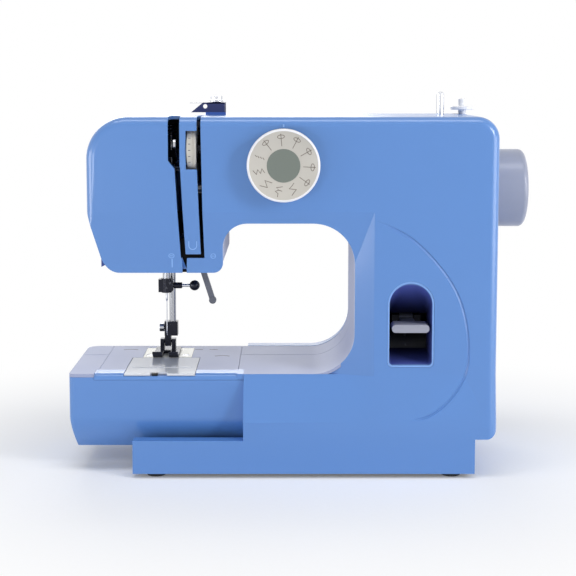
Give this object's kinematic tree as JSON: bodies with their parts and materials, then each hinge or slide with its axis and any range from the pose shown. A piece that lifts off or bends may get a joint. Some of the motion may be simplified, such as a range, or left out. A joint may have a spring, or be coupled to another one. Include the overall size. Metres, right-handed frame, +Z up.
{
  "type": "sewing machine",
  "caption": "Household sewing machine with a slim free arm, arched body, front stitch dial, reverse lever and right-hand handwheel; drive, needle, presser and bobbin works inside.",
  "frame": {"origin": "centre of the overall box at the resting face of the feet", "axes": "+X to the handwheel side, -Y to the front where the user sits, +Z up"},
  "size_m": [0.339, 0.134, 0.276],
  "materials": {
    "blue_shell": "smooth satin blue plastic",
    "bed_grey": "fine satin blue-grey plastic",
    "plate_steel": "satin steel",
    "base_black": "grained black plastic",
    "foot_rubber": "soft matt rubber",
    "screw_steel": "zinc plated steel",
    "lid_plastic": "clear grey acrylic",
    "latch_black": "black plastic",
    "feed_steel": "machined steel",
    "hook_steel": "polished steel",
    "case_black": "moulded black plastic",
    "bobbin_clear": "clear plastic",
    "gear_brass": "cut brass",
    "shaft_steel": "ground steel",
    "pulley_black": "moulded black plastic",
    "belt_rubber": "matt rubber",
    "frame_alloy": "die cast alloy",
    "bush_bronze": "sintered bronze",
    "wheel_silver": "satin silver grey plastic",
    "link_steel": "forged steel",
    "motor_grey": "dark grey paint",
    "clamp_dark": "dark nickel",
    "needle_chrome": "polished nickel",
    "foot_steel": "dark polished steel",
    "lifter_alloy": "die cast alloy",
    "cutter_blue": "dark blue plastic",
    "cream_plastic": "cream plastic",
    "cam_white": "moulded nylon",
    "well_navy": "deep blue plastic",
    "guide_dark": "dark steel with a blue block",
    "winder_white": "white plastic",
    "socket_black": "black plastic"
  },
  "bodies": {
    "chassis": {"front_cover": "blue_shell", "rear_cover": "blue_shell", "base_plate": "base_black", "rubber_feet": "foot_rubber", "cover_screws": "screw_steel", "arm_cover": "blue_shell", "front_rail": "blue_shell", "bed_plate": "bed_grey", "bed_end": "bed_grey", "arch_liner_front": "bed_grey", "arch_liner_rear": "bed_grey", "needle_plate": "plate_steel", "plate_screws": "screw_steel", "bobbin_case": "case_black", "timing_belt": "belt_rubber", "drive_belt": "belt_rubber", "main_frame": "frame_alloy", "shaft_bushes": "bush_bronze", "motor": "motor_grey", "thread_cutter": "cutter_blue", "tension_discs": "screw_steel", "lever_well": "well_navy", "thread_guide": "guide_dark", "guide_nut": "needle_chrome", "power_socket": "socket_black"},
    "main_drive": {"main_shaft": "shaft_steel", "handwheel": "wheel_silver", "handwheel_cap": "wheel_silver", "belt_pulley": "pulley_black", "timing_pulley": "pulley_black", "needle_crank": "link_steel"},
    "lower_drive": {"lower_shaft": "shaft_steel", "lower_pulley": "pulley_black", "lower_gear": "gear_brass"},
    "hook_drive": {"hook": "hook_steel", "hook_gear": "gear_brass"},
    "motor_drive": {"motor_pulley": "frame_alloy"},
    "needle_drive": {"needle_bar": "shaft_steel", "needle_clamp": "clamp_dark", "needle": "needle_chrome", "connecting_rod": "link_steel"},
    "needle_screw": {"clamp_screw": "screw_steel"},
    "take_up": {"take_up_lever": "link_steel"},
    "lifter": {"foot_lifter": "lifter_alloy"},
    "presser": {"presser_bar": "shaft_steel", "presser_shank": "clamp_dark", "presser_spring": "screw_steel"},
    "sewing_foot": {"presser_foot": "foot_steel"},
    "foot_screw": {"shank_screw": "screw_steel"},
    "stitch_selector": {"stitch_dial": "cream_plastic", "stitch_cam": "cam_white"},
    "tension_wheel": {"tension_dial": "cream_plastic"},
    "reverse": {"reverse_lever": "cream_plastic"},
    "lid": {"bobbin_cover": "lid_plastic"},
    "latch": {"cover_latch": "latch_black"},
    "bobbin_reel": {"bobbin": "bobbin_clear"},
    "feed_carrier": {"feed_bar": "feed_steel"},
    "feed": {"feed_dog": "feed_steel"},
    "spool": {"spool_pin": "needle_chrome"},
    "winder_spindle": {"winder": "winder_white"}
  },
  "joints": [
    {"name": "handwheel_spin", "type": "hinge", "parent": "chassis", "child": "main_drive", "pos_m": [0.13, 0.016, 0.203], "axis": [1, 0, 0], "continuous": true},
    {"name": "lower_shaft_spin", "type": "hinge", "parent": "chassis", "child": "lower_drive", "pos_m": [0, 0.016, 0.036], "axis": [1, 0, 0], "continuous": true},
    {"name": "hook_spin", "type": "hinge", "parent": "chassis", "child": "hook_drive", "pos_m": [-0.1045, -0.008, 0.05], "axis": [0, 0, 1], "continuous": true},
    {"name": "motor_spin", "type": "hinge", "parent": "chassis", "child": "motor_drive", "pos_m": [0.12, 0.009, 0.079], "axis": [1, 0, 0], "continuous": true},
    {"name": "needle_bar_slide", "type": "slide", "parent": "chassis", "child": "needle_drive", "axis": [0, 0, 1], "range_m": [-0.03, 0]},
    {"name": "needle_screw_turn", "type": "hinge", "parent": "needle_drive", "child": "needle_screw", "pos_m": [-0.09, 0.0148, 0.1275], "axis": [1, 0, 0], "range_deg": [0, 180]},
    {"name": "take_up_swing", "type": "hinge", "parent": "chassis", "child": "take_up", "pos_m": [-0.0925, -0.012, 0.228], "axis": [1, 0, 0], "range_deg": [0, 55]},
    {"name": "foot_lifter_turn", "type": "hinge", "parent": "chassis", "child": "lifter", "pos_m": [-0.086, 0.044, 0.158], "axis": [0, -1, 0], "range_deg": [0, 60]},
    {"name": "presser_bar_slide", "type": "slide", "parent": "chassis", "child": "presser", "axis": [0, 0, 1], "range_m": [0, 0.006], "deforming": ["presser_spring"]},
    {"name": "foot_tilt", "type": "hinge", "parent": "presser", "child": "sewing_foot", "pos_m": [-0.1045, 0.0252, 0.0815], "axis": [-1, 0, 0], "range_deg": [0, 8]},
    {"name": "foot_screw_turn", "type": "hinge", "parent": "presser", "child": "foot_screw", "pos_m": [-0.108, 0.0242, 0.0928], "axis": [1, 0, 0], "range_deg": [0, 180]},
    {"name": "stitch_dial_turn", "type": "hinge", "parent": "chassis", "child": "stitch_selector", "pos_m": [-0.014, -0.06, 0.2253], "axis": [0, -1, 0], "continuous": true},
    {"name": "tension_dial_turn", "type": "hinge", "parent": "chassis", "child": "tension_wheel", "pos_m": [-0.079, -0.0415, 0.2356], "axis": [1, 0, 0], "range_deg": [-150, 150]},
    {"name": "reverse_lever_press", "type": "hinge", "parent": "chassis", "child": "reverse", "pos_m": [0.0768, -0.018, 0.1077], "axis": [1, 0, 0], "range_deg": [0, 20], "stiffness_Nm_per_rad": 0.25, "springref_deg": -11.46},
    {"name": "bobbin_cover_slide", "type": "slide", "parent": "chassis", "child": "lid", "axis": [0, -1, 0], "range_m": [0, 0.038]},
    {"name": "cover_latch_slide", "type": "slide", "parent": "lid", "child": "latch", "axis": [1, 0, 0], "range_m": [0, 0.0015], "stiffness_N_per_m": 40, "springref_m": -0.002},
    {"name": "bobbin_spin", "type": "hinge", "parent": "chassis", "child": "bobbin_reel", "pos_m": [-0.1045, -0.008, 0.06], "axis": [0, 0, 1], "continuous": true},
    {"name": "feed_stroke", "type": "slide", "parent": "chassis", "child": "feed_carrier", "axis": [0, 1, 0], "range_m": [-0.002, 0.002]},
    {"name": "feed_lift", "type": "slide", "parent": "feed_carrier", "child": "feed", "axis": [0, 0, 1], "range_m": [-0.0015, 0.0006]},
    {"name": "spool_pin_pull", "type": "slide", "parent": "chassis", "child": "spool", "axis": [0, 0, 1], "range_m": [0, 0.024]},
    {"name": "winder_spin", "type": "hinge", "parent": "chassis", "child": "winder_spindle", "pos_m": [0.1239, 0.033, 0.26], "axis": [0, 0, 1], "continuous": true}
  ],
  "couplings": [
    {"joint": "lower_shaft_spin", "follows": "handwheel_spin", "ratio": 1},
    {"joint": "hook_spin", "follows": "handwheel_spin", "ratio": 1},
    {"joint": "motor_spin", "follows": "handwheel_spin", "ratio": 3.4074},
    {"joint": "take_up_swing", "follows": "needle_bar_slide", "rad_per_m": -31.9},
    {"joint": "foot_lifter_turn", "follows": "presser_bar_slide", "rad_per_m": 174.53}
  ]
}
